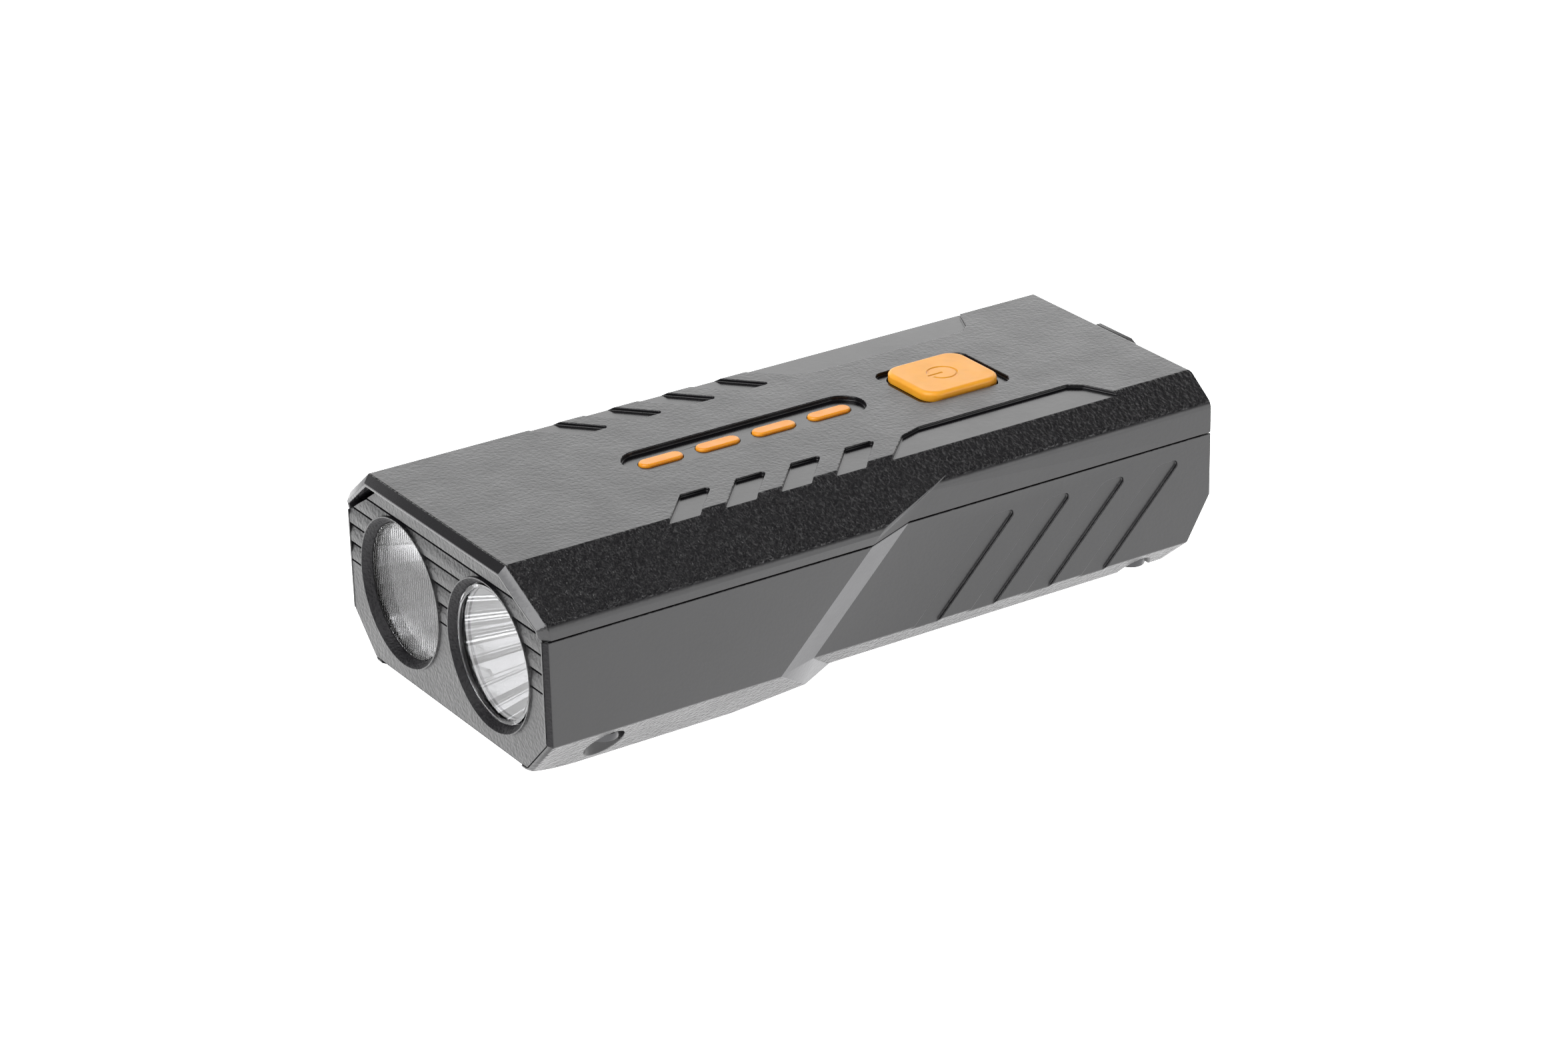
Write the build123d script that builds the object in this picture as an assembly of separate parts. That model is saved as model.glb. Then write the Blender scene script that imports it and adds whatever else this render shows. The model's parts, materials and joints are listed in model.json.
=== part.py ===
from build123d import *
from math import sqrt
import os

os.makedirs("parts", exist_ok=True)

# Twin-lamp bicycle headlight. Millimetres, +Z up, lamps facing -Y.
# While it is modelled, y runs back from the front edge of the flat top.

# Closed housing
HEIGHT = 28.75
LENGTH = 104.75
WALL = 1.5
REAR_WALL = 1.6
TOP_HALF = 17.2
FRONT_HALF = 25.0
REAR_HALF = 21.75
SHOULDER_SLOPE = 0.73
SHOULDER_ROUND = 1.6
FRONT_CORNER = 6.95
REAR_CORNER = 3.2
REAR_FLOOR = 3.05
FACET_START = 27.05
FACET_SLOPE = 2.4
RISE_START = 31.0
RISE_END = 46.5
TAIL_CUT_TOP = (LENGTH, 12.3)
TAIL_CUT_FOOT = (99.2, REAR_FLOOR)
TOP_REAR_ROUND = 0.5
NOSE_ARC_START = 8.6
NOSE_ARC_RISE = 1.7

# Seam between the two shells
SEAM = 21.15
SEAM_GAP = 0.12
TONGUE_INSET = 0.75
TONGUE_TOP = 22.3
SEAL_TOP = 22.7

# Hood over the lamps
HOOD_TOP_Y = -1.1
HOOD_SEAM_Y = 0.3
HOOD_BEVEL = 1.1
SIDE_FRONT = 0.35
SIDE_BEVEL = 0.7

# Lamp face
FACE_FRONT = 0.4
FACE_BACK = 3.0
LAMP_X = 11.2
LAMP_Z = 14.15
COLLAR_R = 10.1
COLLAR_FRONT = 0.15
COLLAR_LIP = 0.18
COLLAR_THROAT = 0.1
GLASS_R = 9.1
LENS_R = 9.55
LENS_FRONT = 1.35
RIM_FRONT = 0.97
RIM_WIDTH = 0.6
WINDOW_SINK = 0.3
FLANGE_FRONT = 1.65
LENS_BACK = 2.45
LENS_GAP = 0.08
LOUVRE_TOP = 24.5
LOUVRE_PITCH = 2.6
LOUVRE_COUNT = 5
LOUVRE_GAP = 0.22
LOUVRE_GAP_BELOW = 0.42
LOUVRE_GAP_DEPTH = 0.9
LOUVRE_LEAN = 0.42
LOUVRE_LEAN_HEIGHT = 1.5
FLUTE_PITCH = 0.54
FLUTE_DEPTH = 0.16

# Reflectors, emitters and heat sink
BOWL_MOUTH_R = 8.9
BOWL_THROAT_R = 3.2
BOWL_BACK = 16.0
BOWL_WALL = 0.9
BOWL_LIP_R = 9.5
BOWL_FLANGE_R = 9.9
BOWL_FLANGE_FRONT = 3.05
LED_BOARD_FRONT = 18.2
LED_BOARD_BACK = 19.8
SINK_BACK = 24.3
LAMP_PLATE_HALF = 21.5
LAMP_PLATE_LOW = 6.0
LAMP_PLATE_HIGH = 22.4

# Battery
CELL_R = 9.2
CELL_LENGTH = 65.0
CELL_X = 9.45
CELL_Z = 14.4
CELL_FRONT = 26.5
CELL_BACK = CELL_FRONT + CELL_LENGTH
TAB = 0.3

# Main board
BOARD_LOW = 24.0
BOARD_TOP = 24.8
BOARD_FRONT = 24.7
BOARD_BACK = 89.5
BOARD_HALF = 17.4
BOARD_SCREW_X = 15.4
BOARD_SCREW_YS = (31.0, 86.0)
SMALL_SCREW_R = 0.7
SMALL_SCREW_HOLE = 0.72
SMALL_SCREW_PASS = 0.95

# Charge gauge in the top
SLOT_HALF = 3.25
SLOT_FRONT = 27.4
SLOT_BACK = 63.85
SLOT_FLOOR = HEIGHT - 0.65
SLOT_PAD = 26.35
SLOT_PAD_HALF = 5.2
PILL_LENGTH = 6.35
PILL_WIDTH = 2.2
PILL_FIRST_Y = 32.8
PILL_PITCH = 8.6
PILL_COUNT = 4
PILL_TOP = HEIGHT - 0.3
PILL_FLANGE = 0.85

# Power button
BUTTON_Y = 76.7
BUTTON_WIDTH = 11.2
BUTTON_LENGTH = 12.0
BUTTON_RAISE = 0.75
BUTTON_THICK = 1.35
KEY_CORNER = 2.4
RECESS_WIDTH = 12.3
RECESS_LENGTH = 14.4
RECESS_FLOOR = HEIGHT - 0.5
WELL_GAP = 0.15
WELL_FLOOR = 27.45
RECESS_PAD = 26.25
RECESS_PAD_HALF = 8.4
STEM = 5.0
ICON_R = 2.1
ICON_LINE = 0.25
ICON_BAR = 2.3
PLUNGER_TOP = 26.2

# Decorative cuts in the top
CUT_DEPTH = 0.47
NOTCH_IN_X = 11.9
NOTCH_FIRST_Y = 28.2
NOTCH_PITCH = 8.28
NOTCH_WIDTH = 4.55
NOTCH_SLANT = 0.9
NOTCH_COUNT = 4

# Slanted grooves in the rear sides
GROOVE_DEPTH = 0.42
GROOVE_FIRST = 54.5
GROOVE_PITCH = 8.93
GROOVE_WIDTH = 4.0
GROOVE_TOP = 18.65
GROOVE_COUNT = 4

# Case screws, in recesses cut into the lower corners
FRONT_SCREW = (21.5, 10.1)
REAR_SCREW = (18.1, 94.4)
FRONT_SCREW_FLOOR = 6.1
REAR_SCREW_FLOOR = 5.3
SCREW_RECESS_R = 2.6
SCREW_HEAD_R = 1.9
SCREW_HEAD = 1.5
SCREW_SHANK_R = 1.0
SCREW_LENGTH = 11.0
POST_R = 1.8
POST_LOW = 9.2

# Charging port and its rubber cover
PORT_Z = 17.5
PORT_WIDTH = 10.4
PORT_HEIGHT = 4.6
USB_WIDTH = 8.94
USB_HEIGHT = 3.2
USB_FRONT = 95.8
USB_MOUTH = 103.1
USB_BOARD_LOW = 15.1
USB_BOARD_TOP = 15.9
USB_SCREW_X = 5.6
USB_SCREW_Y = 97.5
COVER_IN = LENGTH + 0.1
COVER_OUT = LENGTH + 1.0
COVER_TOP = HEIGHT - 0.2
COVER_HALF = 7.4
COVER_TOP_HALF = 3.4
COVER_SHOULDER = 26.6
COVER_LOW = 13.85
HINGE_Y = (COVER_IN + COVER_OUT) / 2
HINGE_Z = 13.6
STRAP_LOW = 12.5

# Slide rail under the rear
RAIL_HALF = 11.0
RAIL_NECK_HALF = 8.6
RAIL_FLANGE = 1.5
RAIL_FRONT = 49.0
RAIL_BACK = 91.0
RAIL_SCREW_YS = (56.0, 84.0)
RAIL_SCREW_R = 0.85
RAIL_SCREW_SEAT = 1.7


def block(x, y, z):
    """Box between (low, high) pairs along x, y and z."""
    size = (x[1] - x[0], y[1] - y[0], z[1] - z[0])
    centre = ((x[0] + x[1]) / 2, (y[0] + y[1]) / 2, (z[0] + z[1]) / 2)
    return Pos(*centre) * Box(*size)


def along_y(face, front, back):
    """Front-view face (x, z) pushed from front to back."""
    return extrude(Plane.XZ.offset(-front) * face, amount=back - front, dir=(0, 1, 0))


def across_x(face, left, right):
    """Side-view face (y, z) pushed from left to right."""
    return extrude(Plane.YZ.offset(left) * face, amount=right - left, dir=(1, 0, 0))


def along_x(points, half):
    """Side-view polygon (y, z) pushed to half on both sides."""
    return across_x(Polygon(*points, align=None), -half, half)


def upright(face, low, high):
    """Plan-view face (x, y) pushed from low to high."""
    return extrude(Plane.XY.offset(low) * face, amount=high - low, dir=(0, 0, 1))


def rod_y(x, z, radius, front, back):
    """Round bar along y."""
    return along_y(Pos(x, z) * Circle(radius), front, back)


def rod_z(x, y, radius, low, high):
    """Round bar along z."""
    return upright(Pos(x, y) * Circle(radius), low, high)


def both_sides(shape):
    """A shape and its mirror image across the middle plane."""
    return shape + mirror(shape, about=Plane.YZ)


def outline(half, floor, corner, inset):
    """Front view of the body: flat top and floor, sloped shoulders, 45 degree lower corners."""
    shoulder = HEIGHT - (half - TOP_HALF) * SHOULDER_SLOPE
    right = [(TOP_HALF, HEIGHT), (half, shoulder), (half, floor + corner), (half - corner, floor)]
    left = [(-x, z) for x, z in reversed(right)]
    face = Polygon(*right, *left, align=None)
    if inset:
        return offset(face, -inset, kind=Kind.INTERSECTION)
    corners = [v for v in face.vertices() if abs(v.Y - shoulder) < 0.01]
    return fillet(corners, SHOULDER_ROUND)


def facet_cutter(side, inset):
    """Everything behind the slanted face where one side steps in."""
    low, far = -20.0, 200.0
    shift = low - inset * sqrt(FACET_SLOPE**2 + 2)
    near = [FACET_START + shift + (FRONT_HALF - x) * FACET_SLOPE for x in (40, 0)]
    plan = Polygon((side * 40, near[0]), (0, near[1]), (0, far), (side * 40, far), align=None)
    return extrude(Plane.XY.offset(low) * plan, amount=70 * sqrt(2), dir=(0, 1, 1))


def rise_cutter(inset):
    """Everything under the slope that joins the deep front to the shallow rear."""
    slope = REAR_FLOOR / (RISE_END - RISE_START)
    lift = inset * sqrt(1 + slope**2)
    start = RISE_START - 20
    end = RISE_START + 60
    heights = [(y - RISE_START) * slope + lift for y in (start, end)]
    return along_x([(start, heights[0]), (end, heights[1]), (end, -30), (start, -30)], 40)


def tail_cutter(inset):
    """Everything behind the sloped lower tail."""
    (top_y, top_z), (foot_y, foot_z) = TAIL_CUT_TOP, TAIL_CUT_FOOT
    run, rise = top_y - foot_y, top_z - foot_z
    shift = inset * sqrt(run**2 + rise**2) / rise
    low = (foot_y - run - shift, foot_z - rise)
    high = (top_y + run - shift, top_z + rise)
    return along_x([low, high, (high[0] + 30, high[1]), (high[0] + 30, low[1])], 40)


def hull(inset):
    """The closed body, shrunk on every side by inset."""
    rear_inset = inset * REAR_WALL / WALL
    front = along_y(outline(FRONT_HALF, 0, FRONT_CORNER, inset), -5, 66)
    for side in (1, -1):
        front -= facet_cutter(side, inset)
    front -= rise_cutter(inset)
    rear = along_y(outline(REAR_HALF, REAR_FLOOR, REAR_CORNER, inset), 33, LENGTH - rear_inset)
    return front + (rear - tail_cutter(inset))


def slab(low, high, front=-10, back=130):
    """A level slice of space."""
    return block((-40, 40), (front, back), (low, high))


def case_screw_places():
    """Middle of each case screw and the level its head pulls against."""
    for side in (1, -1):
        yield side * FRONT_SCREW[0], FRONT_SCREW[1], FRONT_SCREW_FLOOR
        yield side * REAR_SCREW[0], REAR_SCREW[1], REAR_SCREW_FLOOR


def face_outline(grow):
    """Front view of the lamp face, which sits just inside the shells."""
    right = [(15.9, 26.6), (24.2, 21.07), (24.2, 7.1), (19.25, 2.15)]
    left = [(-x, z) for x, z in reversed(right)]
    face = Polygon(*right, *left, align=None)
    return offset(face, grow, kind=Kind.INTERSECTION) if grow else face


def notch_cutters():
    """Four short slanted cuts and one long one, across each top edge."""
    low, high, out = HEIGHT - CUT_DEPTH, HEIGHT + 2, 21.0
    drop = (out - NOTCH_IN_X) * NOTCH_SLANT
    cuts = []
    for k in range(NOTCH_COUNT):
        y = NOTCH_FIRST_Y + k * NOTCH_PITCH
        inner = [(NOTCH_IN_X, y + NOTCH_WIDTH), (NOTCH_IN_X, y)]
        outer = [(out, y - drop), (out, y + NOTCH_WIDTH - drop)]
        cuts.append(soft_prism(inner + outer, 0.45, low, high))
    long_cut = [(out, 53.1), (12.9, 61.2), (11.8, 64.6), (11.8, 88.3), (13.2, 90.1), (out, 93.6)]
    cuts.append(soft_prism(long_cut, 0.9, low, high))
    return [both_sides(cut) for cut in cuts]


def soft_prism(points, radius, low, high):
    """Upright prism whose inner corners are rounded."""
    face = Polygon(*points, align=None)
    outermost = max(x for x, y in points)
    inner = [v for v in face.vertices() if v.X < outermost - 0.1]
    return upright(fillet(inner, radius), low, high)


def pill_y(k):
    """Middle of one gauge pill along the body."""
    return PILL_FIRST_Y + k * PILL_PITCH


def stadium(width, length):
    """Round-ended slot, long way along y."""
    return Rot(0, 0, 90) * SlotOverall(length, width)


def key_outline(grow):
    """Plan view of the power key, grown all round."""
    size = (BUTTON_WIDTH + 2 * grow, BUTTON_LENGTH + 2 * grow)
    return Pos(0, BUTTON_Y) * RectangleRounded(*size, KEY_CORNER + grow)


def upper_shell():
    """Top cover: flat top, shoulders, hood, gauge slot, button recess and screw posts."""
    body = hull(0) & slab(SEAM + SEAM_GAP / 2, 40)
    rake = (HOOD_SEAM_Y - HOOD_TOP_Y) / (HEIGHT - SEAM)
    low_y = HOOD_TOP_Y + rake * (HEIGHT - 15)
    high_y = HOOD_TOP_Y - rake * 5
    body -= along_x([(low_y, 15), (high_y, HEIGHT + 5), (-20, HEIGHT + 5), (-20, 15)], 40)
    front = body.faces().sort_by(Axis.Y)[0]
    seam = SEAM + SEAM_GAP / 2
    rim = [e for e in front.edges() if e.center().Z > seam + 0.2]
    body = chamfer(rim, HOOD_BEVEL)
    back = body.edges().filter_by(Axis.X).filter_by(lambda e: e.center().Z > HEIGHT - 0.1)
    body = fillet(back.sort_by(Axis.Y)[-1], TOP_REAR_ROUND)
    body -= hull(WALL)
    slot_pad = (SLOT_FRONT - 1.6, SLOT_BACK + 1.6)
    body += block((-SLOT_PAD_HALF, SLOT_PAD_HALF), slot_pad, (SLOT_PAD, HEIGHT - 1.2))
    recess_pad = (BUTTON_Y - RECESS_PAD_HALF, BUTTON_Y + RECESS_PAD_HALF)
    body += block((-RECESS_PAD_HALF, RECESS_PAD_HALF), recess_pad, (RECESS_PAD, HEIGHT - 1.2))
    for x, y, _ in case_screw_places():
        body += rod_z(x, y, POST_R, POST_LOW, HEIGHT - 1) & hull(0.4)
        body -= rod_z(x, y, SCREW_SHANK_R + 0.02, POST_LOW - 1, 19)
    tongue_room = hull(TONGUE_INSET - 0.05) - hull(WALL)
    body -= tongue_room & slab(SEAM - 2, SEAL_TOP, FACE_BACK + 0.1)
    for y in BOARD_SCREW_YS:
        for x in (BOARD_SCREW_X, -BOARD_SCREW_X):
            body += rod_z(x, y, 1.7, BOARD_TOP, HEIGHT - 1.2)
            body -= rod_z(x, y, SMALL_SCREW_HOLE, BOARD_TOP - 1, HEIGHT - 1.7)
    body -= along_y(face_outline(0.08), -3, FACE_BACK + 0.1)
    slot = Pos(0, (SLOT_FRONT + SLOT_BACK) / 2) * stadium(2 * SLOT_HALF, SLOT_BACK - SLOT_FRONT)
    body -= upright(slot, SLOT_FLOOR, HEIGHT + 2)
    for k in range(PILL_COUNT):
        hole = Pos(0, pill_y(k)) * stadium(PILL_WIDTH + 0.1, PILL_LENGTH + 0.1)
        body -= upright(hole, SLOT_PAD - 1, SLOT_FLOOR + 1)
    recess = Pos(0, BUTTON_Y) * RectangleRounded(RECESS_WIDTH, RECESS_LENGTH, 1.6)
    body -= upright(recess, RECESS_FLOOR, HEIGHT + 2)
    body -= upright(key_outline(WELL_GAP), WELL_FLOOR, HEIGHT)
    stem_hole = Pos(0, BUTTON_Y) * RectangleRounded(STEM + 0.8, STEM + 0.8, 0.8)
    body -= upright(stem_hole, RECESS_PAD - 1, WELL_FLOOR + 1)
    for cut in notch_cutters():
        body -= cut
    return body


def groove_cutters():
    """Slanted grooves that run out over the lower corner of each rear side."""
    cuts = []
    low = 3.5
    for k in range(GROOVE_COUNT):
        right = GROOVE_FIRST + k * GROOVE_PITCH
        left = right - GROOVE_WIDTH
        points = [(left + low, low), (left + GROOVE_TOP, GROOVE_TOP)]
        points += [(right + GROOVE_TOP, GROOVE_TOP), (right + low, low)]
        side = Polygon(*points, align=None)
        tops = side.vertices().filter_by(lambda v: v.Y > low + 1).sort_by(Axis.X)
        side = fillet(tops[0], 2.2)
        tip = side.vertices().sort_by(Axis.X)[-1]
        side = fillet(tip, 0.55)
        cuts.append(both_sides(across_x(side, REAR_HALF - GROOVE_DEPTH, REAR_HALF + 5)))
    return cuts


def nose_cutter():
    """Space under the front edge of the floor, which lifts in a long arc."""
    radius = ((NOSE_ARC_START - FACE_FRONT) ** 2 + NOSE_ARC_RISE**2) / (2 * NOSE_ARC_RISE)
    under = block((-40, 40), (-10, NOSE_ARC_START), (-10, radius))
    roller = across_x(Pos(NOSE_ARC_START, radius) * Circle(radius), -45, 45)
    return (under - roller) & slab(-10, NOSE_ARC_RISE + 6)


def lower_shell():
    """Tub: sides, floor, tail, screw bosses and the port opening."""
    body = hull(0) & slab(-5, SEAM - SEAM_GAP / 2)
    body -= block((-40, 40), (-20, SIDE_FRONT), (-20, 60))
    body -= nose_cutter()
    front = body.faces().filter_by(Axis.Y).sort_by(Axis.Y)[0]
    rim = [e for e in front.edges() if abs(e.center().X) > 20]
    body = chamfer(rim, SIDE_BEVEL)
    room = hull(WALL)
    body -= room
    ring = (hull(TONGUE_INSET) - room) & slab(SEAM - 1.5, TONGUE_TOP, FACE_BACK + 0.2)
    body += ring
    for x, y, floor in case_screw_places():
        boss = rod_z(x, y, 4.0, -2, POST_LOW - 0.1) & hull(0.1)
        for cell_x in (CELL_X, -CELL_X):
            boss -= rod_y(cell_x, CELL_Z, CELL_R + 0.1, CELL_FRONT, CELL_BACK + 0.2)
        body += boss
        body -= rod_z(x, y, SCREW_RECESS_R, -3, floor)
        body -= rod_z(x, y, SCREW_SHANK_R + 0.15, floor - 1, POST_LOW + 1)
    for y in RAIL_SCREW_YS:
        body += rod_z(0, y, 2.4, REAR_FLOOR + 0.5, 7.4)
        body -= rod_z(0, y, RAIL_SCREW_R + 0.02, REAR_FLOOR - 1, 6.8)
    for x in (USB_SCREW_X, -USB_SCREW_X):
        body += rod_z(x, USB_SCREW_Y, 1.8, REAR_FLOOR + 0.5, USB_BOARD_LOW) & hull(0.4)
        body -= rod_z(x, USB_SCREW_Y, SMALL_SCREW_HOLE, 10, 16)
    body -= along_y(face_outline(0.08), -3, FACE_BACK + 0.1)
    opening = Pos(0, PORT_Z) * RectangleRounded(PORT_WIDTH, PORT_HEIGHT, 1.8)
    body -= along_y(opening, LENGTH - 4, LENGTH + 4)
    body -= rod_y(0, (STRAP_LOW + HINGE_Z) / 2 - 0.2, 0.35, LENGTH - 4, LENGTH + 4)
    for cut in groove_cutters():
        body -= cut
    return body


def shell_seal():
    """Rubber ring squeezed between the tongue and the cover."""
    ring = hull(TONGUE_INSET) - hull(WALL)
    return ring & slab(TONGUE_TOP, SEAL_TOP, FACE_BACK + 0.2)


def case_screws():
    """Four screws that hold the cover down, heads in the corner recesses."""
    screws = []
    for x, y, floor in case_screw_places():
        head = rod_z(x, y, SCREW_HEAD_R, floor - SCREW_HEAD, floor)
        head -= cross_slot(x, y, floor - SCREW_HEAD)
        screws.append(head + rod_z(x, y, SCREW_SHANK_R, floor, floor + SCREW_LENGTH))
    return screws


def cross_slot(x, y, level, size=1.1, width=0.45, depth=0.7):
    """Crossed driver slot cut up into a screw head whose face is at level."""
    span = (level - 0.5, level + depth)
    one = block((x - size, x + size), (y - width / 2, y + width / 2), span)
    other = block((x - width / 2, x + width / 2), (y - size, y + size), span)
    return one + other


def face_plate():
    """Lamp face: sawtooth louvres above, plain below, a raised conical collar round each lens."""
    plate = along_y(face_outline(0), FACE_FRONT, FACE_BACK)
    keep = Part()
    for x in (LAMP_X, -LAMP_X):
        plate += rod_y(x, LAMP_Z, COLLAR_R, COLLAR_FRONT, FACE_BACK)
        keep += rod_y(x, LAMP_Z, COLLAR_R, -5, 10)
    for k in range(LOUVRE_COUNT):
        z = LOUVRE_TOP - k * LOUVRE_PITCH
        leaning = k < LOUVRE_COUNT - 1
        gap = (z - (LOUVRE_GAP_BELOW if leaning else LOUVRE_GAP / 2), z + LOUVRE_GAP / 2)
        cut = block((-30, 30), (-2, FACE_FRONT + LOUVRE_GAP_DEPTH), gap)
        if leaning:
            foot = z - LOUVRE_LEAN_HEIGHT
            wedge = [(FACE_FRONT - 1, z), (FACE_FRONT + LOUVRE_LEAN, z), (FACE_FRONT, foot)]
            cut += along_x(wedge + [(FACE_FRONT - 1, foot)], 30)
        plate -= cut - keep
    start_y, throat_y = COLLAR_FRONT - 0.5, LENS_FRONT - COLLAR_THROAT
    flare = (COLLAR_R - COLLAR_LIP - GLASS_R) / (throat_y - COLLAR_FRONT)
    cone = Cone(GLASS_R, GLASS_R + flare * (throat_y - start_y), throat_y - start_y)
    for x in (LAMP_X, -LAMP_X):
        plate -= Pos(x, (start_y + throat_y) / 2, LAMP_Z) * Rot(90, 0, 0) * cone
        plate -= rod_y(x, LAMP_Z, GLASS_R, -1, FACE_BACK + 1)
        plate -= rod_y(x, LAMP_Z, LENS_R + 0.05, LENS_FRONT, FACE_BACK + 1)
    return plate


def lens_blank(x, front):
    """Clear disc with a thin flange that the reflector presses against the face plate."""
    disc = rod_y(x, LAMP_Z, GLASS_R - LENS_GAP, front, LENS_BACK)
    return disc + rod_y(x, LAMP_Z, LENS_R, FLANGE_FRONT, LENS_BACK)


def flood_lens():
    """Left lens: upright rounded flutes all over its front."""
    fluted_r = GLASS_R - LENS_GAP
    count = int(2 * fluted_r / FLUTE_PITCH) + 1
    radius = (FLUTE_PITCH**2 / 4 + FLUTE_DEPTH**2) / (2 * FLUTE_DEPTH)
    ribs = Part()
    for k in range(count):
        x = -LAMP_X + (k - (count - 1) / 2) * FLUTE_PITCH
        rod = Pos(x, LENS_FRONT + radius) * Circle(radius)
        strip = Pos(x, LENS_FRONT + FLUTE_DEPTH / 2) * Rectangle(FLUTE_PITCH, FLUTE_DEPTH)
        ribs += upright(rod & strip, LAMP_Z - LENS_R, LAMP_Z + LENS_R)
    ribs = ribs & rod_y(-LAMP_X, LAMP_Z, fluted_r, 0, LENS_BACK)
    return lens_blank(-LAMP_X, LENS_FRONT + FLUTE_DEPTH) + ribs


def spot_lens():
    """Right lens: a rim that stands forward round a flat window."""
    window_r = GLASS_R - LENS_GAP - RIM_WIDTH
    window = rod_y(LAMP_X, LAMP_Z, window_r, RIM_FRONT - 1, RIM_FRONT + WINDOW_SINK)
    return lens_blank(LAMP_X, RIM_FRONT) - window


def lens_gasket(x):
    """Rubber ring between the face plate and a lens's flange."""
    ring = rod_y(x, LAMP_Z, LENS_R, LENS_FRONT, FLANGE_FRONT)
    return ring - rod_y(x, LAMP_Z, GLASS_R, 0, 10)


def reflector(x):
    """Parabolic bowl with a flange near its mouth and a throat for the emitter."""
    mouth_y = LENS_BACK
    span = BOWL_BACK - mouth_y
    four_f = (BOWL_MOUTH_R**2 - BOWL_THROAT_R**2) / span
    steps = 12
    inner = []
    for k in range(steps + 1):
        y = mouth_y + span * k / steps
        inner.append((sqrt(BOWL_THROAT_R**2 + four_f * (BOWL_BACK - y)), y))
    outer = [(r + BOWL_WALL, y) for r, y in inner]
    inside = Spline(*inner)
    outside = Spline(*outer)
    profile = make_face([inside, outside, Line(inner[0], outer[0]), Line(inner[-1], outer[-1])])
    bowl = Pos(x, 0, LAMP_Z) * revolve(profile, Axis.Y)
    lip = rod_y(x, LAMP_Z, BOWL_FLANGE_R + 1, 0, BOWL_FLANGE_FRONT)
    bowl -= lip - rod_y(x, LAMP_Z, BOWL_LIP_R, -1, BOWL_FLANGE_FRONT + 1)
    flange = rod_y(x, LAMP_Z, BOWL_FLANGE_R, BOWL_FLANGE_FRONT, BOWL_FLANGE_FRONT + 1)
    return bowl + (flange - rod_y(x, LAMP_Z, BOWL_MOUTH_R + 0.1, 0, 10))


def emitter(x):
    """LED package: square ceramic base with a silicone dome."""
    base = block((x - 1.75, x + 1.75), (LED_BOARD_FRONT - 0.8, LED_BOARD_FRONT), (0, 3.5))
    base = Pos(0, 0, LAMP_Z - 1.75) * base
    dome = Pos(x, LED_BOARD_FRONT - 0.8, LAMP_Z) * Sphere(1.35)
    return base + (dome & block((-40, 40), (0, LED_BOARD_FRONT - 0.4), (0, 40)))


def lamp_plate(front, back):
    """Plate across the body behind the reflectors."""
    half = LAMP_PLATE_HALF
    return block((-half, half), (front, back), (LAMP_PLATE_LOW, LAMP_PLATE_HIGH))


LAMP_SCREWS = [(0, 9.6), (19.4, 19.6), (-19.4, 19.6)]


def led_board():
    """Metal-core board that carries both emitters."""
    plate = lamp_plate(LED_BOARD_FRONT, LED_BOARD_BACK)
    for x, z in LAMP_SCREWS:
        plate -= rod_y(x, z, 1.15, 10, 30)
    return plate


def heat_sink():
    """Aluminium plate with upright fins towards the battery."""
    fin_root = LED_BOARD_BACK + 2
    sink = lamp_plate(LED_BOARD_BACK, fin_root)
    count = 15
    pitch = 2 * (LAMP_PLATE_HALF - 0.5) / (count - 1)
    for k in range(count):
        x = -LAMP_PLATE_HALF + 0.5 + k * pitch
        span = (LAMP_PLATE_LOW, LAMP_PLATE_HIGH)
        sink += block((x - 0.5, x + 0.5), (fin_root, SINK_BACK), span)
    for x, z in LAMP_SCREWS:
        sink -= rod_y(x, z, SCREW_SHANK_R + 0.02, 10, fin_root - 0.2)
    return sink


def heat_sink_screws():
    """Three screws through the board into the heat sink."""
    screws = []
    for x, z in LAMP_SCREWS:
        head = rod_y(x, z, 1.6, LED_BOARD_FRONT - 1, LED_BOARD_FRONT)
        screws.append(head + rod_y(x, z, SCREW_SHANK_R, LED_BOARD_FRONT, LED_BOARD_BACK + 1.6))
    return screws


def cell(x):
    """One 18650 lithium cell in its sleeve, with a raised positive cap."""
    body = rod_y(x, CELL_Z, CELL_R, CELL_FRONT, CELL_BACK)
    rims = body.edges().filter_by(GeomType.CIRCLE)
    return fillet(rims, 0.6)


def cell_tab(front):
    """Nickel strip welded across both cells."""
    return block((-14, 14), (front, front + TAB), (11.2, 17.6))


def cell_tray():
    """Cradle under the two cells."""
    right = [(17.6, 4.75), (19.3, 6.4), (19.3, 9.6)]
    left = [(-x, z) for x, z in reversed(right)]
    tray = along_y(Polygon(*right, *left, align=None), CELL_FRONT + 1, CELL_BACK - 2)
    for x in (CELL_X, -CELL_X):
        tray -= rod_y(x, CELL_Z, CELL_R + 0.04, 20, 100)
    for y in RAIL_SCREW_YS:
        tray -= rod_z(0, y, 2.6, 0, 12)
    return tray


def cell_pad():
    """Foam strip between the cells and the board."""
    return block((-7, 7), (36, 82), (CELL_Z + CELL_R + 0.02, BOARD_LOW - 0.02))


def main_board():
    """Control board above the cells."""
    plan = Pos(0, (BOARD_FRONT + BOARD_BACK) / 2)
    plan = plan * RectangleRounded(2 * BOARD_HALF, BOARD_BACK - BOARD_FRONT, 2)
    board = upright(plan, BOARD_LOW, BOARD_TOP)
    for y in BOARD_SCREW_YS:
        for x in (BOARD_SCREW_X, -BOARD_SCREW_X):
            board -= rod_z(x, y, SMALL_SCREW_PASS, 0, 40)
    return board


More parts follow.
